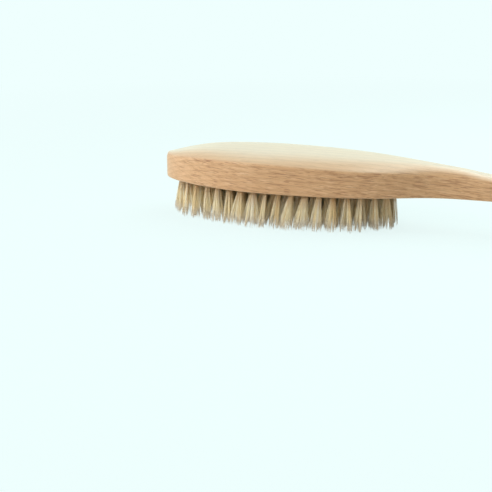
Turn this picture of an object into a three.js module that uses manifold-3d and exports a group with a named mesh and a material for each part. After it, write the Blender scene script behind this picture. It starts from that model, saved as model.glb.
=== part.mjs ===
// A long-handled body brush: one piece of beech, shaped as an oval head that flows into a slim handle,
// with tufts of natural bristle set in blind bores on the flat underside of the head.
// Millimetres, +Z up. The brush stands on its bristle tips at z = 0, with the toe at -X and the handle at +X.

import * as THREE from "three";
import { ConvexGeometry } from "three/addons/geometries/ConvexGeometry.js";
import { ParametricGeometry } from "three/addons/geometries/ParametricGeometry.js";
import { mergeGeometries, mergeVertices } from "three/addons/utils/BufferGeometryUtils.js";
import Module from "manifold-3d";

// Plan of the stock. Lengths along the brush run from the toe. The leads are how far each curve runs on
// in the direction of the brush before it turns, and the toe's fullness is 0.55 for a true oval.
const overallLength = 400;
const headWidth = 66;
const widestAt = 76;
const toeFullness = 0.44;
const shoulderLead = 87;
const waistWidth = 18;
const waistAt = 202;
const waistLead = 45;
const handleLead = 65;
const gripWidth = 24;
const gripLead = 75;
const gripEndLength = 18;

// Side of the stock: the arris is the edge between the upright wall and the domed back, the crest is the
// highest line of the back. Each pair is distance from the toe, height above the flat underside.
const arrisPoints = [[0, 14.2], [30, 17.8], [75, 18.8], [120, 17.1], [165, 15.6], [195, 14.1],
  [225, 11.4], [300, 10.2], [400, 10]];
const crestPoints = [[0, 16.3], [30, 22.1], [75, 23], [120, 22.5], [165, 20.4], [195, 17.6],
  [225, 13.8], [300, 12.6], [400, 12]];

// Fullness of the back across its width: 2 is a plain arch, and 4 stays flat and turns down near the edges.
const domeFullness = 4;

// Edge rounding: crisp on the head, softer where the hand holds the handle.
const headArrisRadius = 1;
const headFootRadius = 1.5;
const gripArrisRadius = 2.2;
const gripFootRadius = 2.6;
const gripEasingStart = 205;
const gripEasingLength = 60;

// Hanging hole through the end of the handle, with its rims eased.
const hangingHole = { fromEnd: 13, radius: 4, rim: 1 };

// Tuft field: oval rings of bores one inside the other, with one straight row along the middle.
const bristleLength = 23;
const fieldCentre = 82.5;
const fieldHalfLength = 71.5;
const fieldHalfWidth = 27;
const ringStepAlong = 10.5;
const ringStepAcross = 8.5;
const ringMargin = 3;
const centreRowHalfLength = 38.5;
const rings = [
  { name: "bristle_ring_outer", tufts: 38, strands: 4 },
  { name: "bristle_ring_second", tufts: 32, strands: 3 },
  { name: "bristle_ring_third", tufts: 24, strands: 3 },
  { name: "bristle_row_centre", tufts: 10, strands: 3 },
];

// One tuft: a folded bundle in its bore, caught by a flat wire anchor, fanning out into strands.
// The fan values are how far a tip drifts for each millimetre from the middle of the field.
const faceSlice = 2;
const boreRadius = 1.8;
const boreDepth = 8.8;
const rootHeight = 5;
const anchor = { length: 2.3, thickness: 0.5, height: 2 };
const strandRoot = { radius: 0.62, offset: 0.95 };
const strandTip = { radius: 0.55, offset: 2.5 };
const fanAlong = 0.015;
const fanAcross = 0.06;
const trimSpread = 1.3;
const trimDepth = 0.5;

// Clearance between neighbouring solids, and how far a cutter runs past the face that it cuts.
const gap = 0.3;
const cutBeyond = 2;

// Fineness of the facets.
const stationsPerCurve = [18, 22, 14, 10];
const domeSteps = 8;
const holeSides = 24;
const ovalSides = 40;
const boreSides = 6;
const rootSides = 4;
const strandSides = 3;

const quarterRound = 0.5523;
const midCorner = 1 - Math.SQRT1_2;
const goldenAngle = Math.PI * (3 - Math.sqrt(5));
const goldenShare = (Math.sqrt(5) - 1) / 2;

const beechLook = { color: 0xd9b384, roughness: 0.55, metalness: 0 };
const bristleLook = { color: 0xd8cda6, roughness: 0.7, metalness: 0 };

const wasm = await Module();
wasm.setup();

const outline = planOutline();
const arrisLine = smoothLine(arrisPoints);
const crestLine = smoothLine(crestPoints);

// A smooth line through a few points.
function smoothLine(points) {
  return new THREE.SplineCurve(points.map(([x, z]) => new THREE.Vector2(x, z)));
}

// The second coordinate of a curve where its first is x, found by halving the curve's own parameter.
function readCurve(curve, x) {
  let low = 0;
  let high = 1;
  for (let halving = 0; halving < 30; halving++) {
    const middle = (low + high) / 2;
    if (curve.getPoint(middle).x < x) low = middle;
    else high = middle;
  }
  return curve.getPoint(low).y;
}

// Whole numbers from 0, for loops that make a list.
function countTo(total) {
  return [...Array(total).keys()];
}

// A closed geometry as a solid to join and cut: shared vertices are merged, collapsed triangles dropped.
function solidFrom(geometry) {
  const bare = geometry.clone().deleteAttribute("normal").deleteAttribute("uv");
  const merged = mergeVertices(bare, 1e-4);
  const corners = merged.index.array;
  const kept = [];
  for (let i = 0; i < corners.length; i += 3) {
    const [a, b, c] = corners.slice(i, i + 3);
    if (a !== b && b !== c && c !== a) kept.push(a, b, c);
  }
  const vertProperties = new Float32Array(merged.attributes.position.array);
  const triVerts = new Uint32Array(kept);
  return new wasm.Manifold(new wasm.Mesh({ numProp: 3, vertProperties, triVerts }));
}

// A solid as a named three.js mesh.
function meshFrom(name, solid, look) {
  const { vertProperties, triVerts } = solid.getMesh();
  const geometry = new THREE.BufferGeometry();
  geometry.setAttribute("position", new THREE.BufferAttribute(vertProperties, 3));
  geometry.setIndex(new THREE.BufferAttribute(triVerts, 1));
  geometry.computeVertexNormals();
  const mesh = new THREE.Mesh(geometry, new THREE.MeshStandardMaterial(look));
  mesh.name = name;
  return mesh;
}

// An upright bar of so many sides between two heights, centred on a place of the plan.
function uprightBar(radius, low, high, sides, place) {
  return new THREE.CylinderGeometry(radius, radius, high - low, sides)
    .rotateX(Math.PI / 2)
    .translate(place.x, place.y, (low + high) / 2);
}

// A flat plate of a plan shape between two heights.
function uprightPlate(shape, low, high) {
  return new THREE.ExtrudeGeometry(shape, { depth: high - low, bevelEnabled: false }).translate(0, 0, low);
}

// Half of the plan outline from the toe to the handle's end: toe, shoulder and neck, handle, rounded end.
function planOutline() {
  const head = headWidth / 2;
  const waist = waistWidth / 2;
  const grip = gripWidth / 2;
  const gripAt = overallLength - gripEndLength;
  const endTurn = gripAt + gripEndLength * quarterRound;
  const path = new THREE.Path();
  path.moveTo(0, 0);
  path.bezierCurveTo(0, head * toeFullness, widestAt * (1 - toeFullness), head, widestAt, head);
  path.bezierCurveTo(widestAt + shoulderLead, head, waistAt - waistLead, waist, waistAt, waist);
  path.bezierCurveTo(waistAt + handleLead, waist, gripAt - gripLead, grip, gripAt, grip);
  path.bezierCurveTo(endTurn, grip, overallLength, grip * quarterRound, overallLength, 0);
  return path;
}

// Height of the domed back above the underside, which goes across the width from arris to crest to arris.
function domeHeight(x, y) {
  const arris = readCurve(arrisLine, x);
  const crest = readCurve(crestLine, x);
  const halfWidth = readCurve(outline, x);
  return arris + (crest - arris) * (1 - Math.abs(y / halfWidth) ** domeFullness);
}

// One rib of the stock at a station of the outline: a closed loop up the far wall, over the dome and down the
// near wall, whose last side is the flat underside. Foot and arris are rounded square to the outline.
function ribAt({ point, tangent }) {
  const easing = THREE.MathUtils.smoothstep(point.x, gripEasingStart, gripEasingStart + gripEasingLength);
  const footRadius = THREE.MathUtils.lerp(headFootRadius, gripFootRadius, easing);
  const arrisRadius = THREE.MathUtils.lerp(headArrisRadius, gripArrisRadius, easing);
  const arris = readCurve(arrisLine, point.x);
  const inward = (inset) => ({ x: point.x + tangent.y * inset, y: Math.max(point.y - tangent.x * inset, 0) });
  const edge = inward(arrisRadius);
  const edgeHeight = domeHeight(edge.x, edge.y);
  const wall = [
    [footRadius, 0],
    [footRadius * midCorner, footRadius * midCorner],
    [0, footRadius],
    [0, arris - arrisRadius],
    [arrisRadius / 4, (3 * arris - arrisRadius + edgeHeight) / 4],
    [arrisRadius, edgeHeight],
  ];
  const wallSide = (side) => wall.map(([inset, z]) => {
    const { x, y } = inward(inset);
    return new THREE.Vector3(x, side * y, z);
  });
  const dome = countTo(domeSteps - 1).map((step) => {
    const y = edge.y * Math.cos((Math.PI * (step + 1)) / domeSteps);
    return new THREE.Vector3(edge.x, y, domeHeight(edge.x, y));
  });
  return [...wallSide(1), ...dome, ...wallSide(-1).reverse()];
}

// The stock as a loft through its ribs, with toe and end closing to single points of the outline.
function stockSolid() {
  const stations = outline.curves.flatMap((curve, i) => {
    const isLast = i === outline.curves.length - 1;
    return countTo(stationsPerCurve[i] + (isLast ? 1 : 0)).map((k) => {
      const t = k / stationsPerCurve[i];
      return { point: curve.getPoint(t), tangent: curve.getTangent(t) };
    });
  });
  const ribs = stations.map(ribAt);
  const around = ribs[0].length;
  const along = ribs.length - 1;
  const skin = (u, v, target) => target.copy(ribs[Math.round(v * along)][Math.round(u * around) % around]);
  return solidFrom(new ParametricGeometry(skin, around, along).translate(0, 0, bristleLength));
}

// An oval of the tuft field: so many ring steps inside the outer ring, then grown by a margin.
function fieldOval(ringSteps, margin = 0) {
  const halfLength = fieldHalfLength - ringSteps * ringStepAlong + margin;
  const halfWidth = fieldHalfWidth - ringSteps * ringStepAcross + margin;
  return new THREE.EllipseCurve(fieldCentre, 0, halfLength, halfWidth, 0, 2 * Math.PI);
}

// Where the tufts of one ring stand: evenly along its oval, or along the straight middle row.
function tuftPlaces(ringNumber) {
  const { tufts } = rings[ringNumber];
  if (ringNumber < rings.length - 1) return fieldOval(ringNumber).getSpacedPoints(tufts).slice(0, tufts);
  return countTo(tufts).map((k) => {
    const share = (2 * k) / (tufts - 1) - 1;
    return new THREE.Vector2(fieldCentre + centreRowHalfLength * share, 0);
  });
}

// One ring's slice of the bored face: an oval band, or a solid oval for the middle row.
function faceBand(ringNumber) {
  const outer = ringNumber === 0 ? fieldOval(0, ringMargin) : fieldOval(ringNumber - 0.5, -gap / 2);
  const inner = fieldOval(ringNumber + 0.5, gap / 2);
  const band = new THREE.Shape(outer.getPoints(ovalSides));
  if (ringNumber < rings.length - 1) band.holes.push(new THREE.Path(inner.getPoints(ovalSides)));
  return uprightPlate(band, bristleLength, bristleLength + faceSlice);
}

// The folded root of a tuft in its bore, and the flat wire anchor driven across the fold.
function tuftRoot(place) {
  const low = bristleLength + faceSlice - gap;
  const high = bristleLength + faceSlice + rootHeight;
  const root = uprightBar(boreRadius - gap, low, high, rootSides, place);
  const wire = new THREE.BoxGeometry(anchor.length, anchor.thickness, anchor.height);
  return solidFrom(root).add(solidFrom(wire.translate(place.x, place.y, high)));
}

// The strands of one tuft. They start close together in the bore's mouth and fan out, each in its own sector,
// while the whole tuft leans away from the middle of the field. Tips are trimmed flat at z = 0.
function tuftStrands(place, tuftNumber, strands) {
  const lean = new THREE.Vector2(fanAlong * (place.x - fieldCentre), fanAcross * place.y);
  return countTo(strands).map((k) => {
    const turn = tuftNumber * goldenAngle + (k * 2 * Math.PI) / strands;
    const share = ((tuftNumber * strands + k) * goldenShare) % 1;
    const tipHeight = Math.max(0, trimSpread * share - trimDepth);
    const root = strandSection(place, turn, strandRoot, bristleLength + gap);
    const tip = strandSection(place.clone().add(lean), turn, strandTip, tipHeight);
    return new ConvexGeometry([...root, ...tip]);
  });
}

// The corners of a strand's section at one height, set out from the middle of its tuft.
function strandSection(middle, turn, { radius, offset }, z) {
  return countTo(strandSides).map((corner) => {
    const angle = turn + (corner * 2 * Math.PI) / strandSides;
    const x = middle.x + offset * Math.cos(turn) + radius * Math.cos(angle);
    const y = middle.y + offset * Math.sin(turn) + radius * Math.sin(angle);
    return new THREE.Vector3(x, y, z);
  });
}

// One ring of filled face: the slice of wood, its tuft roots with their anchors, and the strands.
function bristleRing(ringNumber) {
  const firstTuft = rings.slice(0, ringNumber).reduce((sum, ring) => sum + ring.tufts, 0);
  const places = tuftPlaces(ringNumber);
  const strands = places.flatMap((place, k) => tuftStrands(place, firstTuft + k, rings[ringNumber].strands));
  return places
    .map(tuftRoot)
    .reduce((ring, root) => ring.add(root), solidFrom(faceBand(ringNumber)))
    .add(solidFrom(mergeGeometries(strands)));
}

// The shallow seat of the bored face, as a cutter.
function seatCut() {
  const seat = new THREE.Shape(fieldOval(0, ringMargin + gap).getPoints(ovalSides));
  return uprightPlate(seat, bristleLength - cutBeyond, bristleLength + faceSlice + gap);
}

// A blind bore for each tuft, as one set of cutters.
function boreCuts() {
  const places = rings.flatMap((ring, ringNumber) => tuftPlaces(ringNumber));
  const top = bristleLength + boreDepth;
  return mergeGeometries(places.map((place) => uprightBar(boreRadius, bristleLength, top, boreSides, place)));
}

// The hanging hole's cutter: a bar that flares at both faces of the handle.
function hangingHoleCut() {
  const { fromEnd, radius, rim } = hangingHole;
  const at = overallLength - fromEnd;
  const top = readCurve(crestLine, at);
  const flared = radius + rim + cutBeyond;
  const profile = [
    [0, -cutBeyond],
    [flared, -cutBeyond],
    [radius, rim],
    [radius, top - rim],
    [flared, top + cutBeyond],
    [0, top + cutBeyond],
  ].map(([r, z]) => new THREE.Vector2(r, z));
  return new THREE.LatheGeometry(profile, holeSides).rotateX(Math.PI / 2).translate(at, 0, bristleLength);
}

function boredStock() {
  return stockSolid()
    .subtract(solidFrom(seatCut()))
    .subtract(solidFrom(boreCuts()))
    .subtract(solidFrom(hangingHoleCut()));
}

const brush = new THREE.Group();
brush.position.x = -overallLength / 2;
brush.add(meshFrom("beech_stock", boredStock(), beechLook));
rings.forEach(({ name }, ringNumber) => brush.add(meshFrom(name, bristleRing(ringNumber), bristleLook)));

export default brush;
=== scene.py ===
# %% [markdown]
# # A beech body brush
# The brush is one piece of pale beech, an oval head that flows into a slim handle, with tufts of natural
# bristle on its flat underside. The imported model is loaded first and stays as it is: it gives the frame, in
# metres, with the bristle tips on the floor at z = 0, the toe of the head at -X and the handle at +X.
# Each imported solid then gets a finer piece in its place.

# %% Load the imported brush
import math

import bmesh
import bpy
import numpy as np
from mathutils import Matrix, Vector


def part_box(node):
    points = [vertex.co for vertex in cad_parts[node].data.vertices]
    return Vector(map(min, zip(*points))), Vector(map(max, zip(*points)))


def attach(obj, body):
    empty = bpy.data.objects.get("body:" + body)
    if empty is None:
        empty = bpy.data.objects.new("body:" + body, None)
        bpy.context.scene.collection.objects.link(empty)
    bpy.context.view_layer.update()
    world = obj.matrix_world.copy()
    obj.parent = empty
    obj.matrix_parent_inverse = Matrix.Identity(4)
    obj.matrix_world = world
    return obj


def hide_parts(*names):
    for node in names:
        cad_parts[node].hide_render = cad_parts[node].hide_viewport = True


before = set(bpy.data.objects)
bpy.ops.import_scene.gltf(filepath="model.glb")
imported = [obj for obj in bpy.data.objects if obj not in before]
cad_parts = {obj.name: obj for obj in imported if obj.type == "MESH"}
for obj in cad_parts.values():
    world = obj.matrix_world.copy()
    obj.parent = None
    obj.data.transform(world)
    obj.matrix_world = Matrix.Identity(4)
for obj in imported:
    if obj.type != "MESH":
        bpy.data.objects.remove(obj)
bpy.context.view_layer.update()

MM = 0.001
stock_low, stock_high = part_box("beech_stock")
toe_x = stock_low.x
face_z = stock_low.z
brush_length = stock_high.x - stock_low.x
head_half_width = stock_high.y
scene = bpy.context.scene
scene.view_settings.view_transform = "Standard"
print(f"brush {brush_length / MM:.0f} mm long, bristles {face_z / MM:.0f} mm, "
      f"head {2 * head_half_width / MM:.0f} mm wide")

# %% [markdown]
# ## The camera
# The photograph was taken with a longish lens from the handle side, a little above the head, so the wall and
# the domed back both show and the handle runs out of the picture. Fitting the edges of the head gave the
# camera's place, how far it looks down and how far it is turned. A camera looks along its own -Z with +Y up,
# so its matrix is put together from those three directions, which keeps the picture level.

# %% Camera
camera_place = Vector((59.5, -613.6, 171.2)) * MM
look_down = math.radians(16.66)
turn_left = math.radians(18.38)
picture_width = 492
focal_pixels = 998.4

camera_data = bpy.data.cameras.new("camera")
camera_data.sensor_width = 36
camera_data.lens = focal_pixels / picture_width * camera_data.sensor_width
right = Vector((math.cos(turn_left), math.sin(turn_left), 0))
level = Vector((-math.sin(turn_left), math.cos(turn_left), 0))
forward = level * math.cos(look_down) - Vector((0, 0, math.sin(look_down)))
up = right.cross(forward)
turned = Matrix((right, up, -forward)).transposed().to_4x4()
camera = bpy.data.objects.new("camera", camera_data)
camera.matrix_world = Matrix.Translation(camera_place) @ turned
scene.collection.objects.link(camera)
scene.camera = camera
print(f"camera with a {camera_data.lens:.1f} mm lens")


# %% [markdown]
# ## Colours and node helpers
# Colours are easiest to choose as the 0 to 255 values of a picture, while shaders count in linear light, so
# one function turns the first into the second. Node trees are built in code, and a few small helpers keep that
# short: they add a node with its settings, feed a socket from another socket or a plain value, do sums, map
# one range of numbers to another, and mix two colours.

# %% Helpers
def picture_colour(red, green, blue):
    shares = [value / 255 for value in (red, green, blue)]
    return [s / 12.92 if s <= 0.04045 else ((s + 0.055) / 1.055) ** 2.4 for s in shares] + [1.0]


def feed(tree, socket, value):
    if isinstance(value, bpy.types.NodeSocket):
        tree.links.new(value, socket)
    else:
        socket.default_value = value


def add(tree, kind, inputs=None, **settings):
    node = tree.nodes.new(kind)
    for name, value in settings.items():
        setattr(node, name, value)
    for key, value in (inputs or {}).items():
        feed(tree, node.inputs[key], value)
    return node


def number(tree, operation, *values):
    node = add(tree, "ShaderNodeMath", dict(enumerate(values)), operation=operation)
    return node.outputs[0]


def vector(tree, operation, *values):
    node = add(tree, "ShaderNodeVectorMath", operation=operation)
    for place, value in enumerate(values):
        slot = "Scale" if operation == "SCALE" and place == 1 else place
        feed(tree, node.inputs[slot], value)
    return node.outputs["Value" if operation == "LENGTH" else 0]


def in_range(tree, value, low, high, start=0.0, end=1.0):
    node = add(tree, "ShaderNodeMapRange", {
        "Value": value, "From Min": low, "From Max": high, "To Min": start, "To Max": end})
    return node.outputs[0]


def blend_colour(tree, share, first, second, blend="MIX"):
    node = add(tree, "ShaderNodeMix", data_type="RGBA", blend_type=blend)
    feed(tree, node.inputs["Factor"], share)
    feed(tree, node.inputs[6], first)
    feed(tree, node.inputs[7], second)
    return node.outputs[2]


def new_material(name):
    material = bpy.data.materials.new(name)
    material.use_nodes = True
    tree = material.node_tree
    return material, tree, tree.nodes["Principled BSDF"]


def link_piece(name, mesh):
    piece = bpy.data.objects.new(name, mesh)
    scene.collection.objects.link(piece)
    return piece


print(f"helpers ready, middle grey is {picture_colour(128, 128, 128)[0]:.3f} in linear light")

# %% [markdown]
# ## The stage
# A wide pale floor stands in for the plain background. For the camera and in reflections it is lit from
# within, so that it stays even and pale to the horizon. Only near the brush does it take some of the lamps'
# light, and with it the brush's shadow. The light that it throws back up is a little warmer, which keeps the
# bristles from looking grey. From below it is clear, so that they can be looked at from underneath.

# %% Floor
backdrop_colour = picture_colour(239, 255, 254)
bounce_colour = picture_colour(230, 217, 201)
floor_reach = 8.0
shadow_near, shadow_far = 0.3, 0.8
glow_near, glow_far = 0.85, 1.0


def seen_or_mirrored(tree):
    path = add(tree, "ShaderNodeLightPath")
    return number(tree, "MAXIMUM", path.outputs["Is Camera Ray"], path.outputs["Is Glossy Ray"])


def mix_shaders(tree, share, first, second):
    return add(tree, "ShaderNodeMixShader", {"Fac": share, 1: first, 2: second}).outputs[0]


corners = [(-floor_reach, -floor_reach, 0), (floor_reach, -floor_reach, 0),
           (floor_reach, floor_reach, 0), (-floor_reach, floor_reach, 0)]
floor_mesh = bpy.data.meshes.new("floor")
floor_mesh.from_pydata(corners, [], [(0, 1, 2, 3)])
floor = link_piece("floor", floor_mesh)

floor_material, tree, shader = new_material("pale floor")
tree.nodes.remove(shader)
lit = add(tree, "ShaderNodeBsdfDiffuse", {"Color": backdrop_colour})
glow = add(tree, "ShaderNodeEmission", {"Color": backdrop_colour, "Strength": 1.0})
bounce = add(tree, "ShaderNodeBsdfDiffuse", {"Color": bounce_colour})
clear = add(tree, "ShaderNodeBsdfTransparent")
where = add(tree, "ShaderNodeTexCoord")
sides = add(tree, "ShaderNodeNewGeometry")
from_middle = vector(tree, "LENGTH", where.outputs["Object"])
glow_share = in_range(tree, from_middle, shadow_near, shadow_far, glow_near, glow_far)
seen = mix_shaders(tree, glow_share, lit.outputs[0], glow.outputs[0])
above = mix_shaders(tree, seen_or_mirrored(tree), bounce.outputs[0], seen)
floor_shader = mix_shaders(tree, sides.outputs["Backfacing"], above, clear.outputs[0])
tree.links.new(floor_shader, tree.nodes["Material Output"].inputs["Surface"])
floor_mesh.materials.append(floor_material)
print(f"floor {2 * floor_reach:.0f} m wide")

# %% [markdown]
# ## Light
# The toe is bright and the neck lies in half shade, so two big soft lamps stand on the left. They are kept out
# of reflections, because mirrored in the satin back they would burn out when it is seen from behind. A lamp
# above the neck keeps that pale, a wide panel behind puts the cool sheen on the back, and the world fills the
# rest. One round lamp would be quicker to set, but it would leave hard shadows between the tufts.

# %% World
room_light = 0.2

world = bpy.data.worlds.new("soft room")
world.use_nodes = True
scene.world = world
tree = world.node_tree
room = tree.nodes["Background"]
feed(tree, room.inputs["Color"], [1, 1, 1, 1])
feed(tree, room.inputs["Strength"], room_light)
backdrop = add(tree, "ShaderNodeBackground", {"Color": backdrop_colour, "Strength": 1.0})
sky = mix_shaders(tree, seen_or_mirrored(tree), room.outputs[0], backdrop.outputs[0])
tree.links.new(sky, tree.nodes["World Output"].inputs["Surface"])
print(f"world at {room_light} of white")


# %% Lamps
def soft_lamp(name, place, target, width, height, power, colour=(1, 1, 1), mirrored=True):
    data = bpy.data.lights.new(name, "AREA")
    data.shape = "RECTANGLE"
    data.size = width
    data.size_y = height
    data.energy = power
    data.color = colour
    lamp = bpy.data.objects.new(name, data)
    lamp.location = place
    lamp.visible_glossy = mirrored
    lamp.rotation_euler = (Vector(target) - Vector(place)).to_track_quat("-Z", "Y").to_euler()
    scene.collection.objects.link(lamp)
    print(f"{name}: {width} by {height} m, {power} W")


head_middle = (toe_x + 0.08, 0, face_z)
handle_middle = (0.17, 0, 0.03)
soft_lamp("left lamp", (-1.25, -0.35, 0.42), head_middle,
          width=1.8, height=1.3, power=8, mirrored=False)
soft_lamp("front lamp", (-1.3, -0.9, 0.62), head_middle,
          width=2.6, height=2.0, power=33, mirrored=False)
soft_lamp("top lamp", (0.17, 0.2, 0.5), handle_middle,
          width=0.44, height=0.8, power=2.9, colour=(0.87, 1, 0.97))
soft_lamp("back panel", (-0.1, 1.75, 0.8), head_middle,
          width=3.6, height=1.6, power=8, colour=(0.76, 1, 0.93))

# %% [markdown]
# ## The outline of the stock
# Seen from above the stock is a smooth outline in four stretches: a slightly pointed toe, the shoulders that
# draw in to the waist, the handle that swells to a grip, and its round end. Seen from the side two lines
# matter: the arris, where the upright wall meets the back, and the crest, the highest line of the dome. Each
# stretch of the plan is a cubic curve, and the side lines are smooth curves through a few heights.

# %% Plan and side curves, in millimetres from the toe and above the underside
widest_at = 76
toe_fullness = 0.44
shoulder_lead = 87
waist_half_width = 9
waist_at = 202
waist_lead = 45
handle_lead = 65
grip_half_width = 12
grip_lead = 75
grip_end_length = 18
quarter_round = 0.5523
arris_points = [(0, 14.2), (30, 17.8), (75, 18.8), (120, 17.1), (150, 15.6), (167, 14.3),
                (182, 13.1), (196, 12.3), (210, 11.6), (228, 10.9), (300, 10.1), (400, 10)]
crest_points = [(0, 16.3), (30, 22.1), (75, 23), (120, 22.5), (165, 20.4), (195, 17.6),
                (225, 13.8), (300, 12.6), (400, 12)]


def cubic(points, steps):
    a, b, c, d = (np.array(p, float) for p in points)
    t = np.linspace(0, 1, steps + 1)[:, None]
    place = (1 - t) ** 3 * a + 3 * t * (1 - t) ** 2 * b + 3 * t * t * (1 - t) * c + t ** 3 * d
    way = (1 - t) ** 2 * (b - a) + 2 * t * (1 - t) * (c - b) + t * t * (d - c)
    return place, way / np.linalg.norm(way, axis=1)[:, None]


def smooth_line(points, steps=200):
    p = np.array(points, float)
    padded = np.vstack([p[:1], p, p[-1:]])
    t = np.linspace(0, 1, steps, endpoint=False)[:, None]
    spans = []
    for before, start, end, after in zip(padded, padded[1:], padded[2:], padded[3:]):
        leave, arrive = (end - before) / 2, (after - start) / 2
        square = 3 * (end - start) - 2 * leave - arrive
        cube = 2 * (start - end) + leave + arrive
        spans.append(start + leave * t + square * t ** 2 + cube * t ** 3)
    return np.vstack(spans + [p[-1:]])


length = brush_length / MM
head = head_half_width / MM
grip_at = length - grip_end_length
toe = [(0, 0), (0, head * toe_fullness), (widest_at * (1 - toe_fullness), head), (widest_at, head)]
shoulder = [(widest_at, head), (widest_at + shoulder_lead, head),
            (waist_at - waist_lead, waist_half_width), (waist_at, waist_half_width)]
handle = [(waist_at, waist_half_width), (waist_at + handle_lead, waist_half_width),
          (grip_at - grip_lead, grip_half_width), (grip_at, grip_half_width)]
round_end = [(grip_at, grip_half_width), (grip_at + grip_end_length * quarter_round, grip_half_width),
             (length, grip_half_width * quarter_round), (length, 0)]
stretches = [(toe, 64), (shoulder, 72), (handle, 48), (round_end, 32)]
drawn = [cubic(points, steps) for points, steps in stretches]
outline = np.vstack([place[:-1] for place, way in drawn] + [drawn[-1][0][-1:]])
directions = np.vstack([way[:-1] for place, way in drawn] + [drawn[-1][1][-1:]])
arris_line = smooth_line(arris_points)
crest_line = smooth_line(crest_points)
print(f"{len(outline)} stations along the outline")

# %% [markdown]
# ## The stock as a loft
# The real stock is routed to its outline, its back is sanded to a dome and its edges are eased. A box with a
# bevel can't follow a dome that fades into a handle, so the stock is lofted: at each station of the outline
# a rib goes up the wall, over the dome and down again. The two edges are rounded square to the outline,
# small and crisp on the head, softer on the handle. The ribs close on single lines at the toe and at the end,
# and merging their doubled points leaves one closed skin.

# %% One rib
head_arris_radius, head_foot_radius = 1.0, 1.5
grip_arris_radius, grip_foot_radius = 2.2, 2.6
grip_easing_start, grip_easing_length = 205, 60
edge_steps, wall_steps, dome_steps = 7, 6, 44
dome_fullness = 4


def read(line, x):
    return np.interp(x, line[:, 0], line[:, 1])


def dome_height(x, y):
    arris = read(arris_line, x)
    return arris + (read(crest_line, x) - arris) * (1 - np.abs(y / read(outline, x)) ** dome_fullness)


def rib(place, way):
    x, y = place
    ease = np.clip((x - grip_easing_start) / grip_easing_length, 0, 1)
    ease = ease * ease * (3 - 2 * ease)
    foot = head_foot_radius + ease * (grip_foot_radius - head_foot_radius)
    round_over = head_arris_radius + ease * (grip_arris_radius - head_arris_radius)
    arris = read(arris_line, x)

    def inward(inset):
        return x + way[1] * inset, max(y - way[0] * inset, 0)

    edge_x, edge_y = inward(round_over)
    edge_z = dome_height(edge_x, edge_y)
    turn = np.linspace(0, math.pi / 2, edge_steps)
    side = [(foot * (1 - math.sin(a)), foot * (1 - math.cos(a))) for a in turn]
    side += [(0, z) for z in np.linspace(foot, arris - round_over, wall_steps)[1:-1]]
    for s in np.linspace(0, 1, edge_steps):
        z = (1 - s) ** 2 * (arris - round_over) + 2 * s * (1 - s) * arris + s * s * edge_z
        side.append((round_over * s * s, z))
    far = [(*inward(inset), z) for inset, z in side]
    across = edge_y * np.cos(np.linspace(0, math.pi, dome_steps + 1))[1:-1]
    back = [(edge_x, v, dome_height(edge_x, v)) for v in across]
    near = [(u, -v, z) for u, v, z in reversed(far)]
    return far + back + near


ribs = np.array([rib(place, way) for place, way in zip(outline, directions)])
stations, around = ribs.shape[:2]
print(f"{stations} ribs of {around} points")

# %% Skin over the ribs
merge_distance = 0.001 * MM

points = ribs.reshape(-1, 3) * MM + np.array((toe_x, 0, face_z))
grid = np.arange(stations * around).reshape(stations, around)
beside = np.roll(grid, -1, axis=1)
quads = np.stack([grid[:-1], grid[1:], beside[1:], beside[:-1]], axis=-1).reshape(-1, 4)

skin = bpy.data.meshes.new("stock skin")
skin.from_pydata(points.tolist(), [], quads.tolist())
shaper = bmesh.new()
shaper.from_mesh(skin)
bmesh.ops.remove_doubles(shaper, verts=shaper.verts, dist=merge_distance)
bmesh.ops.recalc_face_normals(shaper, faces=shaper.faces)
shaper.to_mesh(skin)
shaper.free()
stock = link_piece("stock", skin)
print(f"stock skin with {len(skin.polygons)} faces")

# %% [markdown]
# ## Flecks of the grain
# Steamed beech is pale and slightly pink, and what tells it from other woods is its rays: short brown flecks
# that all run with the grain. Painting them one by one would never look even, so they are noise that is
# stretched along X and cut off at a threshold. The grain runs out of the side of the head by a few degrees,
# and the pattern is tipped by as much. It is needed at many sizes, so it is a node group with named inputs.

# %% Node group for flecks that run with the grain
grain_tip = math.radians(4)

flecks = bpy.data.node_groups.new("Grain flecks", "ShaderNodeTree")
for label in ("Length", "Depth", "Thickness", "Threshold", "Softness", "Shift"):
    flecks.interface.new_socket(label, in_out="INPUT", socket_type="NodeSocketFloat")
flecks.interface.new_socket("Mask", in_out="OUTPUT", socket_type="NodeSocketFloat")

given = add(flecks, "NodeGroupInput")
result = add(flecks, "NodeGroupOutput")
where = add(flecks, "ShaderNodeTexCoord")
tipped = add(flecks, "ShaderNodeMapping", {"Vector": where.outputs["Object"], "Rotation": (0, -grain_tip, 0)})
size = add(flecks, "ShaderNodeCombineXYZ", {
    "X": given.outputs["Length"], "Y": given.outputs["Depth"], "Z": given.outputs["Thickness"]})
shift = add(flecks, "ShaderNodeCombineXYZ", {axis: given.outputs["Shift"] for axis in "XYZ"})
counted = vector(flecks, "DIVIDE", tipped.outputs[0], size.outputs[0])
moved = vector(flecks, "ADD", counted, shift.outputs[0])
grain_noise = add(flecks, "ShaderNodeTexNoise", {
    "Vector": moved, "Scale": 1.0, "Detail": 2.0, "Roughness": 0.55})
limit = number(flecks, "ADD", given.outputs["Threshold"], given.outputs["Softness"])
mask = in_range(flecks, grain_noise.outputs[0], given.outputs["Threshold"], limit)
flecks.links.new(mask, result.inputs["Mask"])


def fleck_mask(tree, size, threshold, softness, shift):
    node = add(tree, "ShaderNodeGroup", node_tree=flecks)
    for label, value in zip(("Length", "Depth", "Thickness"), size):
        node.inputs[label].default_value = value * MM
    for label, value in {"Threshold": threshold, "Softness": softness, "Shift": shift}.items():
        node.inputs[label].default_value = value
    return node.outputs["Mask"]


print(f"grain flecks group with {len(flecks.nodes)} nodes")

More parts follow.
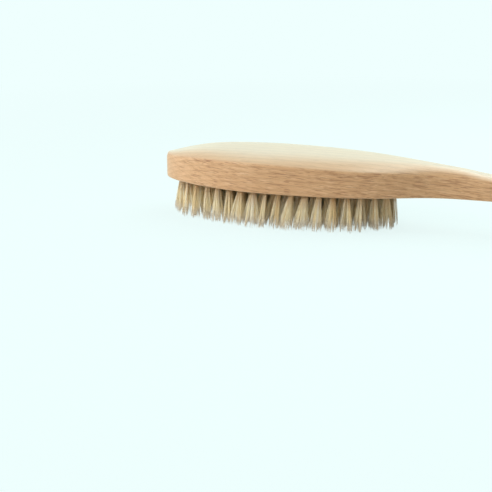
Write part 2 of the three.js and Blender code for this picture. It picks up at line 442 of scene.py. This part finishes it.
# %% [markdown]
# ## Beech
# Under the flecks lie faint growth rings round a pith that is off to one side, a slow drift from pale to warm,
# long streaks and fine fibres. All of it is cut from one solid pattern on Object coordinates, so the rings run
# on from the wall to the back as they do in wood. The wall shows broad flecks and pale lines between them. The
# back cuts the same rays thinly, so it has finer ones, and the toe shows end grain with hardly any.

# %% Growth rings, drift, streaks and fibres
pale_wood, warm_wood = picture_colour(214, 174, 130), picture_colour(200, 157, 113)
ring_colour, fibre_colour = picture_colour(161, 115, 73), picture_colour(154, 110, 69)
ring_share, streak_share, fibre_share = 0.4, 0.22, 0.16
ring_scale, ring_sharpness = 100, 3.0
wave_turn = 20  # radians that a wave texture turns through in one unit of its scale
pith_tip = math.radians(-1.5)

beech, tree, shader = new_material("beech")
where = add(tree, "ShaderNodeTexCoord")
pith = add(tree, "ShaderNodeMapping", {
    "Vector": where.outputs["Object"], "Location": (0.3, 0.09, 0.12),
    "Rotation": (0, pith_tip, 0), "Scale": (0.08, 1, 1)})
ring_wave = add(tree, "ShaderNodeTexWave", {
    "Vector": pith.outputs[0], "Scale": ring_scale, "Distortion": 3.0, "Detail": 3.0,
    "Detail Scale": 0.35, "Detail Roughness": 0.5},
    wave_type="RINGS", rings_direction="X", wave_profile="SAW")
drift_map = add(tree, "ShaderNodeMapping", {"Vector": where.outputs["Object"], "Scale": (14, 60, 60)})
drift = add(tree, "ShaderNodeTexNoise", {"Vector": drift_map.outputs[0], "Scale": 1.0, "Detail": 3.0})
ring_line = number(tree, "POWER", ring_wave.outputs["Fac"], ring_sharpness)
streaks = fleck_mask(tree, (24, 1.7, 1.7), 0.5, 0.25, 8.1)
fibres = fleck_mask(tree, (14, 0.4, 0.4), 0.45, 0.3, 3.7)
colour = blend_colour(tree, drift.outputs[0], pale_wood, warm_wood)
for layer, share, tint in ((ring_line, ring_share, ring_colour), (streaks, streak_share, ring_colour),
                           (fibres, fibre_share, fibre_colour)):
    colour = blend_colour(tree, number(tree, "MULTIPLY", layer, share), colour, tint)
fibred = colour
print(f"rings {math.tau / (wave_turn * ring_scale) / MM:.1f} mm apart under streaks and fibres")

# %% Rays and pale lines
fleck_colour, line_colour = picture_colour(130, 80, 38), picture_colour(236, 206, 168)
wall_fleck_share, back_fleck_share, pale_line_share = 0.62, 0.36, 0.4
wall_below, flat_above = 0.35, 0.95
end_grain_from, end_grain_to, end_grain_share = 0.3, 0.8, 0.15

facing = add(tree, "ShaderNodeSeparateXYZ", {"Vector": where.outputs["Normal"]})
flatness = in_range(tree, number(tree, "ABSOLUTE", facing.outputs["Z"]), wall_below, flat_above)
steepness = number(tree, "SUBTRACT", 1.0, flatness)
along_grain = in_range(tree, number(tree, "ABSOLUTE", facing.outputs["X"]),
                       end_grain_from, end_grain_to, 1.0, end_grain_share)
side_grain = number(tree, "MULTIPLY", steepness, along_grain)

short_rays = fleck_mask(tree, (7, 4, 0.42), 0.575, 0.06, 0.0)
long_rays = fleck_mask(tree, (15, 5, 0.6), 0.585, 0.07, 5.3)
back_rays = fleck_mask(tree, (8, 0.5, 3), 0.575, 0.07, 2.3)
pale_lines = fleck_mask(tree, (13, 3, 0.4), 0.54, 0.1, 11.9)
wall_rays = number(tree, "MAXIMUM", short_rays, long_rays)
wall_flecks = number(tree, "MULTIPLY", wall_rays, number(tree, "MULTIPLY", side_grain, wall_fleck_share))
back_flecks = number(tree, "MULTIPLY", back_rays, number(tree, "MULTIPLY", flatness, back_fleck_share))
ray_flecks = number(tree, "MAXIMUM", wall_flecks, back_flecks)
line_share = number(tree, "MULTIPLY", pale_lines, number(tree, "MULTIPLY", side_grain, pale_line_share))
lined = blend_colour(tree, line_share, fibred, line_colour)
flecked = blend_colour(tree, ray_flecks, lined, fleck_colour)
print(f"flecks at {wall_fleck_share} on the wall and {back_fleck_share} on the back")

# %% [markdown]
# ## The satin surface
# The back is rubbed with wax, so it takes a clear sheen, while the wall stays nearly dull. Where the surface
# faces up it is also painted a little paler, as painted light for the strong light from above. One glossy
# setting for the whole stock would make the wall shine too, so the weight of the coat follows how far the
# surface faces up.
# Pores and fibres roughen it and sink in by a hair.

# %% Painted top light, pores and polish
top_light_colour, sheen_colour = picture_colour(224, 187, 142), picture_colour(222, 255, 240)
top_light_most = 0.2
dull, duller = 0.44, 0.56
pore_depth, pore_strength, fibre_pores = 0.03 * MM, 0.25, 0.5
wall_polish, back_polish = 0.2, 0.8

# Painted light: surfaces that face up are painted paler, standing for the strong light from above.
top_light_share = in_range(tree, facing.outputs["Z"], 0.5, 0.9, 0.0, top_light_most)
top_light_painted = blend_colour(tree, top_light_share, flecked, top_light_colour)
roughness = in_range(tree, fibres, 0.0, 1.0, dull, duller)
polish = in_range(tree, facing.outputs["Z"], 0.45, 0.75, wall_polish, back_polish)
pores = number(tree, "ADD", ray_flecks, number(tree, "MULTIPLY", fibres, fibre_pores))
relief = add(tree, "ShaderNodeBump", {
    "Strength": pore_strength, "Distance": pore_depth, "Height": pores}, invert=True)
for label, value in {"Base Color": top_light_painted, "Roughness": roughness, "Coat Weight": polish,
                     "Normal": relief.outputs[0], "Coat IOR": 1.65, "Coat Roughness": 0.36,
                     "Sheen Weight": 0.35, "Sheen Roughness": 0.5, "Sheen Tint": sheen_colour}.items():
    feed(tree, shader.inputs[label], value)
print(f"beech with {len(tree.nodes)} nodes")

# %% [markdown]
# ## Where the tufts stand
# The bores lie in three oval rings, one inside the other, with a straight row along the middle, all about
# nine millimetres apart. On an oval, equal steps of angle would crowd the ends, so the oval is walked along its
# length and the places are read off at equal distances.

# %% Tuft places, in millimetres from the toe
field_centre, field_half_length, field_half_width = 82.5, 71.5, 27
ring_step_along, ring_step_across = 10.5, 8.5
centre_row_half_length = 38.5
walk_steps = 4000
rings = {"outer": 38, "second": 32, "third": 24, "centre": 10}
ring_nodes = {"outer": "bristle_ring_outer", "second": "bristle_ring_second",
              "third": "bristle_ring_third", "centre": "bristle_row_centre"}


def oval_places(half_length, half_width, count):
    angle = np.linspace(0, 2 * math.pi, walk_steps)
    walk = np.stack([field_centre + half_length * np.cos(angle), half_width * np.sin(angle)], axis=1)
    travelled = np.concatenate([[0], np.cumsum(np.linalg.norm(np.diff(walk, axis=0), axis=1))])
    stops = np.arange(count) / count * travelled[-1]
    return np.stack([np.interp(stops, travelled, walk[:, 0]), np.interp(stops, travelled, walk[:, 1])], axis=1)


tuft_places = {}
for step, (ring, count) in enumerate(rings.items()):
    if ring == "centre":
        along = np.linspace(-centre_row_half_length, centre_row_half_length, count)
        tuft_places[ring] = np.stack([field_centre + along, 0 * along], axis=1)
    else:
        tuft_places[ring] = oval_places(field_half_length - step * ring_step_along,
                                        field_half_width - step * ring_step_across, count)
print({ring: len(places) for ring, places in tuft_places.items()})

# %% [markdown]
# ## Drilling the stock
# Each tuft sits in its own blind bore, and the handle has one hole to hang it by. Repeated cuts are a job for
# Geometry Nodes: one round cutter is placed on every tuft point, a turned cutter with eased rims joins them
# for the hanging hole, and a single Boolean takes them all from the stock before the beech is put on it. The
# tree's inputs hold the bore's sizes, and the finished geometry is kept as a plain mesh.

# %% Points for the bores and a cutter for the hanging hole
hole_from_end, hole_radius, hole_rim = 13, 4.0, 1.2
hole_sides, rim_steps = 48, 6
cutter_overshoot = 2


def point_mesh(name, places):
    mesh = bpy.data.meshes.new(name)
    mesh.from_pydata([(toe_x + x * MM, y * MM, face_z) for x, y in places], [], [])
    return mesh


def hanging_hole_cutter():
    at = length - hole_from_end
    top = read(crest_line, at)
    wide = hole_radius + hole_rim
    turns = np.linspace(0, math.pi / 2, rim_steps)
    lower = [(hole_radius + hole_rim * (1 - math.sin(a)), hole_rim * (1 - math.cos(a))) for a in turns]
    upper = [(radius, top - z) for radius, z in reversed(lower)]
    below, over = -cutter_overshoot, top + cutter_overshoot
    profile = [(0, below), (wide, below), *lower, *upper, (wide, over), (0, over)]
    cutter = bmesh.new()
    ring = [cutter.verts.new((radius * MM, 0, z * MM)) for radius, z in profile]
    edges = [cutter.edges.new(pair) for pair in zip(ring, ring[1:])]
    bmesh.ops.spin(cutter, geom=ring + edges, axis=(0, 0, 1), cent=(0, 0, 0),
                   steps=hole_sides, angle=2 * math.pi)
    bmesh.ops.remove_doubles(cutter, verts=cutter.verts, dist=merge_distance)
    bmesh.ops.translate(cutter, verts=cutter.verts, vec=(toe_x + at * MM, 0, face_z))
    bmesh.ops.recalc_face_normals(cutter, faces=cutter.faces)
    mesh = bpy.data.meshes.new("hanging hole cutter")
    cutter.to_mesh(mesh)
    cutter.free()
    return mesh


all_places = np.vstack(list(tuft_places.values()))
marks = link_piece("tuft marks", point_mesh("tuft marks", all_places))
hole_cutter = link_piece("hanging hole cutter", hanging_hole_cutter())
print(f"{len(all_places)} bores and a hole of {2 * hole_radius:.0f} mm")


# %% Helpers for Geometry Nodes
def new_tree(name, inputs):
    tree = bpy.data.node_groups.new(name, "GeometryNodeTree")
    tree.interface.new_socket("Geometry", in_out="INPUT", socket_type="NodeSocketGeometry")
    sockets = {}
    for label, (kind, value) in inputs.items():
        socket = tree.interface.new_socket(label, in_out="INPUT", socket_type=kind)
        if value is not None:
            socket.default_value = value
        sockets[label] = socket.identifier
    tree.interface.new_socket("Geometry", in_out="OUTPUT", socket_type="NodeSocketGeometry")
    return tree, add(tree, "NodeGroupInput"), add(tree, "NodeGroupOutput"), sockets


def run_tree(piece, tree, sockets, values):
    modifier = piece.modifiers.new(tree.name, "NODES")
    modifier.node_group = tree
    for label, value in values.items():
        modifier[sockets[label]] = value
    depsgraph = bpy.context.evaluated_depsgraph_get()
    made = bpy.data.meshes.new_from_object(piece.evaluated_get(depsgraph), depsgraph=depsgraph)
    piece.modifiers.remove(modifier)
    return made


print("helpers for trees ready")

# %% The drilling tree
bore_sides = 20

tree, given, result, sockets = new_tree("drill the stock", {
    "Tuft points": ("NodeSocketObject", None),
    "Hanging hole": ("NodeSocketObject", None),
    "Bore radius": ("NodeSocketFloat", 0.0),
    "Bore depth": ("NodeSocketFloat", 0.0),
    "Material": ("NodeSocketMaterial", None),
})
tufts = add(tree, "GeometryNodeObjectInfo", {"Object": given.outputs["Tuft points"]})
hole = add(tree, "GeometryNodeObjectInfo", {"Object": given.outputs["Hanging hole"]})
bit_length = number(tree, "MULTIPLY", given.outputs["Bore depth"], 2.0)
bit = add(tree, "GeometryNodeMeshCylinder", {
    "Vertices": bore_sides, "Radius": given.outputs["Bore radius"], "Depth": bit_length})
bits = add(tree, "GeometryNodeInstanceOnPoints", {
    "Points": tufts.outputs["Geometry"], "Instance": bit.outputs["Mesh"]})
solid_bits = add(tree, "GeometryNodeRealizeInstances", {"Geometry": bits.outputs[0]})
cutters = add(tree, "GeometryNodeJoinGeometry")
tree.links.new(solid_bits.outputs[0], cutters.inputs[0])
tree.links.new(hole.outputs["Geometry"], cutters.inputs[0])
drill = add(tree, "GeometryNodeMeshBoolean", operation="DIFFERENCE", solver="EXACT")
tree.links.new(given.outputs["Geometry"], drill.inputs["Mesh 1"])
tree.links.new(cutters.outputs[0], drill.inputs["Mesh 2"])
finished = add(tree, "GeometryNodeSetMaterial", {
    "Geometry": drill.outputs["Mesh"], "Material": given.outputs["Material"]})
tree.links.new(finished.outputs[0], result.inputs[0])
print(f"drilling tree with {len(tree.nodes)} nodes")

# %% Drill and finish the stock
bore_radius, bore_depth = 1.75, 7.0
sharp_angle = math.radians(40)

drilled = run_tree(stock, tree, sockets, {
    "Tuft points": marks, "Hanging hole": hole_cutter,
    "Bore radius": bore_radius * MM, "Bore depth": bore_depth * MM, "Material": beech})
# The Boolean leaves an empty first slot for the cutters, which have no material.
drilled.materials.pop(index=0)
drilled.shade_smooth()
drilled.set_sharp_from_angle(angle=sharp_angle)
stock.data = drilled
for helper in (marks, hole_cutter):
    bpy.data.objects.remove(helper)
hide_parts("beech_stock")
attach(stock, "root")
print(f"drilled stock with {len(drilled.polygons)} faces in {[m.name for m in drilled.materials]}")

# %% [markdown]
# ## Bristle tufts
# A tuft is a bundle of stiff hairs folded into its bore, so it leaves the wood tight and round and fans out
# towards the trimmed tips. Modelling thousands of hairs by hand is hopeless, and a particle system can't be
# handed on as a mesh, so a Geometry Nodes tree makes them from the tuft points. No two tufts of a used brush
# stand alike, so each point first gets a lean, drawn from a fixed seed, and a flare for how far it opens.

# %% Lean and flare of each tuft
fan_centre, fan_along, fan_across = 115, 0.004, 0.05
sweep_at, sweep_width, sweep_most = 92, 26, -3.2
jitter_along, jitter_across, jitter_flare = 0.7, 0.42, 0.2
chance = np.random.default_rng(7)


def tuft_points(ring):
    places = tuft_places[ring]
    count = len(places)
    sweep = sweep_most * np.exp(-(((places[:, 0] - sweep_at) / sweep_width) ** 2))
    lean = np.zeros((count, 3))
    lean[:, 0] = fan_along * (places[:, 0] - fan_centre) + sweep + chance.normal(0, jitter_along, count)
    lean[:, 1] = fan_across * places[:, 1] + chance.normal(0, jitter_across, count)
    flare = 1 + chance.normal(0, jitter_flare, count)
    mesh = point_mesh(f"tufts {ring}", places)
    mesh.attributes.new("lean", "FLOAT_VECTOR", "POINT").data.foreach_set("vector", (lean * MM).ravel())
    mesh.attributes.new("flare", "FLOAT", "POINT").data.foreach_set("value", flare)
    mesh.attributes.new("tuft", "INT", "POINT").data.foreach_set("value", np.arange(count))
    print(f"{ring}: {count} tufts lean up to {np.abs(lean).max():.1f} mm")
    return mesh


tuft_meshes = {ring: tuft_points(ring) for ring in rings}

# %% [markdown]
# ## From a tuft point to its hairs
# Every tuft point is copied once for each hair. Bristle doesn't spread evenly: hairs cling together in locks.
# So each hair first draws a lock, the lock draws a place in the round bore, and the hair only strays a little
# from it. The same place, spread wider, is the tip. The trim isn't level either, and every hair ends a little
# short of the floor by its own amount. What a hair needs later is kept on its point as named attributes.

# %% Inputs of the hair tree
tree, given, result, sockets = new_tree("bristle hairs", {
    "Hairs": ("NodeSocketInt", 100),
    "Root spread": ("NodeSocketFloat", 0.0),
    "Tip spread": ("NodeSocketFloat", 0.0),
    "Locks": ("NodeSocketInt", 6),
    "Lock width": ("NodeSocketFloat", 0.0),
    "Bow": ("NodeSocketFloat", 0.0),
    "Fan curve": ("NodeSocketFloat", 1.0),
    "Free length": ("NodeSocketFloat", 0.0),
    "Held length": ("NodeSocketFloat", 0.0),
    "Trim": ("NodeSocketFloat", 0.0),
    "Root radius": ("NodeSocketFloat", 0.0),
    "Tip radius": ("NodeSocketFloat", 0.0),
    "Seed": ("NodeSocketInt", 0),
    "Material": ("NodeSocketMaterial", None),
})
hair_tree, hair_sockets = tree, sockets
print(f"hair tree with {len(hair_sockets)} inputs")


# %% Helpers for chance and attributes
def chance_value(kind, low, high, salt, identity=None):
    node = add(tree, "FunctionNodeRandomValue", data_type=kind)
    seed = number(tree, "ADD", given.outputs["Seed"], float(salt))
    tree.links.new(seed, node.inputs["Seed"])
    if identity:
        tree.links.new(identity, node.inputs["ID"])
    live = [socket for socket in node.inputs if socket.enabled and socket.name in ("Min", "Max")]
    feed(tree, live[0], low)
    feed(tree, live[1], high)
    return next(socket for socket in node.outputs if socket.enabled)


def chance_in_disc(salt, identity=None):
    angle = chance_value("FLOAT", 0.0, 2 * math.pi, salt, identity)
    reach = number(tree, "SQRT", chance_value("FLOAT", 0.0, 1.0, salt + 1, identity))
    spoke = add(tree, "ShaderNodeCombineXYZ", {
        "X": number(tree, "COSINE", angle), "Y": number(tree, "SINE", angle)})
    return vector(tree, "SCALE", spoke.outputs[0], reach)


def named(kind, name):
    node = add(tree, "GeometryNodeInputNamedAttribute", {"Name": name}, data_type=kind)
    return next(socket for socket in node.outputs if socket.enabled and socket.name == "Attribute")


def keep(geometry, kind, name, value):
    node = add(tree, "GeometryNodeStoreNamedAttribute", {"Geometry": geometry, "Name": name},
               data_type=kind, domain="POINT")
    slot = next(socket for socket in node.inputs if socket.enabled and socket.name == "Value")
    feed(tree, slot, value)
    return node.outputs["Geometry"]


print("helpers for chance and attributes ready")

# %% Root, tip and tone of each hair
trim_evenness = 0.9
lock_tone_share = 0.75

copies = add(tree, "GeometryNodeDuplicateElements", {
    "Geometry": given.outputs["Geometry"], "Amount": given.outputs["Hairs"]}, domain="POINT")
last_lock = number(tree, "SUBTRACT", given.outputs["Locks"], 1.0)
lock = chance_value("INT", 0, last_lock, 7)
lock_id = number(tree, "MULTIPLY_ADD", named("INT", "tuft"), given.outputs["Locks"], lock)
lock_way = chance_in_disc(11, lock_id)
own_way = chance_in_disc(1)
root_way = vector(tree, "SCALE", vector(tree, "ADD", lock_way, own_way), 0.5)
root_place = vector(tree, "SCALE", root_way, given.outputs["Root spread"])
fan = number(tree, "MULTIPLY", given.outputs["Tip spread"], named("FLOAT", "flare"))
tip_place = vector(tree, "ADD", vector(tree, "SCALE", lock_way, fan),
                   vector(tree, "SCALE", own_way, given.outputs["Lock width"]))
sideways = vector(tree, "ADD", vector(tree, "SUBTRACT", tip_place, root_place), named("FLOAT_VECTOR", "lean"))

trim_chance = number(tree, "POWER", chance_value("FLOAT", 0.0, 1.0, 4), trim_evenness)
trimmed = number(tree, "MULTIPLY", given.outputs["Trim"], trim_chance)
whole = number(tree, "ADD", given.outputs["Free length"], given.outputs["Held length"])
fall = add(tree, "ShaderNodeCombineXYZ", {"Z": number(tree, "SUBTRACT", trimmed, whole)})
bow_way = chance_value("FLOAT_VECTOR", (-1.0, -1.0, 0.0), (1.0, 1.0, 0.0), 5)
bow = vector(tree, "SCALE", bow_way, given.outputs["Bow"])

own_tone = chance_value("FLOAT", 0.0, 1.0, 6)
lock_tone = chance_value("FLOAT", 0.0, 1.0, 9, lock_id)
hair_tone = add(tree, "ShaderNodeMix", {"Factor": lock_tone_share, "A": own_tone, "B": lock_tone})

raised = add(tree, "ShaderNodeCombineXYZ", {"Z": given.outputs["Held length"]})
placed = add(tree, "GeometryNodeSetPosition", {
    "Geometry": copies.outputs["Geometry"], "Offset": vector(tree, "ADD", root_place, raised.outputs[0])})
standing = add(tree, "GeometryNodeInputPosition")
noted = keep(placed.outputs[0], "FLOAT_VECTOR", "hair_start", standing.outputs[0])
noted = keep(noted, "FLOAT_VECTOR", "hair_fall", fall.outputs[0])
noted = keep(noted, "FLOAT_VECTOR", "hair_fan", sideways)
noted = keep(noted, "FLOAT_VECTOR", "hair_bow", bow)
noted = keep(noted, "FLOAT", "hair_tone", hair_tone.outputs["Result"])
print(f"{len(tree.nodes)} nodes so far")

# %% [markdown]
# ## Laying the hairs
# One hair is a thin three-sided spike, because thousands of them have to stay light. It is a metre long at
# first, so the height of a point on it is also its share of the length. It is placed on every point and
# realized, and then each of its points is moved to its place between root and tip: down by its share, out by
# the fan and aside by a slight bow. Curves would bend as well, but they would need a second step to get a skin.

# %% One straight hair
hair_rings, hair_sides = 4, 3

hair = add(tree, "GeometryNodeMeshCone", {
    "Vertices": hair_sides, "Side Segments": hair_rings, "Fill Segments": 1, "Depth": 1.0,
    "Radius Top": given.outputs["Tip radius"], "Radius Bottom": given.outputs["Root radius"]},
    fill_type="NGON")
outward = add(tree, "GeometryNodeFlipFaces", {"Mesh": hair.outputs["Mesh"]})
own_place = add(tree, "GeometryNodeInputPosition")
split = add(tree, "ShaderNodeSeparateXYZ", {"Vector": own_place.outputs[0]})
section = add(tree, "ShaderNodeCombineXYZ", {"X": split.outputs["X"], "Y": split.outputs["Y"]})
measured = keep(outward.outputs[0], "FLOAT", "hair_share", split.outputs["Z"])
measured = keep(measured, "FLOAT_VECTOR", "hair_section", section.outputs[0])
print(f"a hair has {hair_sides} sides and {hair_rings} rings")

# %% Hairs bent into place
passing = ("hair_start", "hair_fall", "hair_fan", "hair_bow", "hair_section", "lean", "flare", "tuft")

set_hairs = add(tree, "GeometryNodeInstanceOnPoints", {"Points": noted, "Instance": measured})
solid_hairs = add(tree, "GeometryNodeRealizeInstances", {"Geometry": set_hairs.outputs[0]})
share = named("FLOAT", "hair_share")
hump = number(tree, "MULTIPLY", share, number(tree, "SUBTRACT", 1.0, share))
fanned = number(tree, "POWER", share, given.outputs["Fan curve"])
bent = named("FLOAT_VECTOR", "hair_start")
for name, amount in (("hair_fall", share), ("hair_fan", fanned), ("hair_bow", hump)):
    bent = vector(tree, "ADD", bent, vector(tree, "SCALE", named("FLOAT_VECTOR", name), amount))
laid = add(tree, "GeometryNodeSetPosition", {
    "Geometry": solid_hairs.outputs[0],
    "Position": vector(tree, "ADD", bent, named("FLOAT_VECTOR", "hair_section"))})
tidied = laid.outputs[0]
for name in passing:
    tidied = add(tree, "GeometryNodeRemoveAttribute", {"Geometry": tidied, "Name": name}).outputs[0]
smooth = add(tree, "GeometryNodeSetShadeSmooth", {"Geometry": tidied})
finished = add(tree, "GeometryNodeSetMaterial", {
    "Geometry": smooth.outputs[0], "Material": given.outputs["Material"]})
tree.links.new(finished.outputs[0], result.inputs[0])
print(f"hair tree with {len(tree.nodes)} nodes")

# %% [markdown]
# ## The colour of natural bristle
# Natural bristle isn't one colour: most hairs are cream, some are yellower, some nearly white and a few light
# brown. Each is painted darker near the root, partly as real bristle is and partly as painted shade where the
# wood shades it, and it is frayed and pale at the tip. The tree gives every hair a tone, which it mostly shares
# with its lock, and every point its share of the length, and the material only reads those two attributes, so
# the colours stay with the hairs from any side.
# A real hair also lets light through. Its shadow on the next hair is therefore only partial: for shadow rays
# the material is nearly clear, which keeps the inside of a tuft from going black.

# %% Bristle material
darkest_hair, palest_hair = picture_colour(204, 174, 126), picture_colour(255, 254, 244)
hairs_between = {0.14: (244, 224, 176), 0.45: (255, 246, 210), 0.8: (255, 252, 232)}
root_shade_colour, tip_colour = picture_colour(190, 146, 96), picture_colour(255, 254, 248)
passed_colour, sheen_colour = picture_colour(254, 250, 243), picture_colour(255, 246, 222)
root_from, root_to, root_shade_strength = 0.06, 0.52, 0.8
tip_from, tip_strength = 0.7, 0.8

bristle, tree, shader = new_material("natural bristle")
tone = add(tree, "ShaderNodeAttribute", attribute_name="hair_tone")
share = add(tree, "ShaderNodeAttribute", attribute_name="hair_share")
tones = add(tree, "ShaderNodeValToRGB", {"Fac": tone.outputs["Fac"]})
ramp = tones.color_ramp.elements
ramp[0].color, ramp[1].color = darkest_hair, palest_hair
for position, colour in hairs_between.items():
    ramp.new(position).color = picture_colour(*colour)
# Painted shade: towards the root the colour is darkened, where the wood shades the hairs.
free_share = in_range(tree, share.outputs["Fac"], root_from, root_to)
root_shaded = blend_colour(tree, free_share, root_shade_colour, (1, 1, 1, 1))
coloured = blend_colour(tree, root_shade_strength, tones.outputs[0], root_shaded, "MULTIPLY")
tip_share = in_range(tree, share.outputs["Fac"], tip_from, 1.0, 0.0, tip_strength)
pale_ended = blend_colour(tree, tip_share, coloured, tip_colour)
for label, value in {"Base Color": pale_ended, "Roughness": 0.4, "Sheen Weight": 0.8,
                     "Sheen Roughness": 0.5, "Sheen Tint": sheen_colour}.items():
    feed(tree, shader.inputs[label], value)
path = add(tree, "ShaderNodeLightPath")
let_through = add(tree, "ShaderNodeBsdfTransparent", {"Color": passed_colour})
hair_shader = mix_shaders(tree, path.outputs["Is Shadow Ray"], shader.outputs[0], let_through.outputs[0])
tree.links.new(hair_shader, tree.nodes["Material Output"].inputs["Surface"])
print(f"bristle with {len(ramp)} tones")

# %% [markdown]
# ## Growing the tufts
# The same tree now runs on the points of each ring, with its own seed, and what it makes is kept as a plain
# mesh in place of that ring's solid. The hairs start two millimetres inside the bores, so that no gap shows
# at the wood, and taper to half their thickness.

# %% Grow the tufts of each ring
hair_sizes = {
    "Hairs": 185, "Locks": 20, "Lock width": 0.4 * MM,
    "Root spread": 1.1 * MM, "Tip spread": 4.6 * MM, "Fan curve": 0.8, "Bow": 1.2 * MM,
    "Free length": face_z, "Held length": 2.0 * MM, "Trim": 4.0 * MM,
    "Root radius": 0.12 * MM, "Tip radius": 0.06 * MM, "Material": bristle}
seed_step = 100

for place, ring in enumerate(rings):
    piece = link_piece(f"bristles_{ring}", tuft_meshes[ring])
    grown = run_tree(piece, hair_tree, hair_sockets, {**hair_sizes, "Seed": seed_step * place})
    piece.data = grown
    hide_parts(ring_nodes[ring])
    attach(piece, "root")
    print(f"{piece.name}: {rings[ring]} tufts, {len(grown.polygons)} faces")
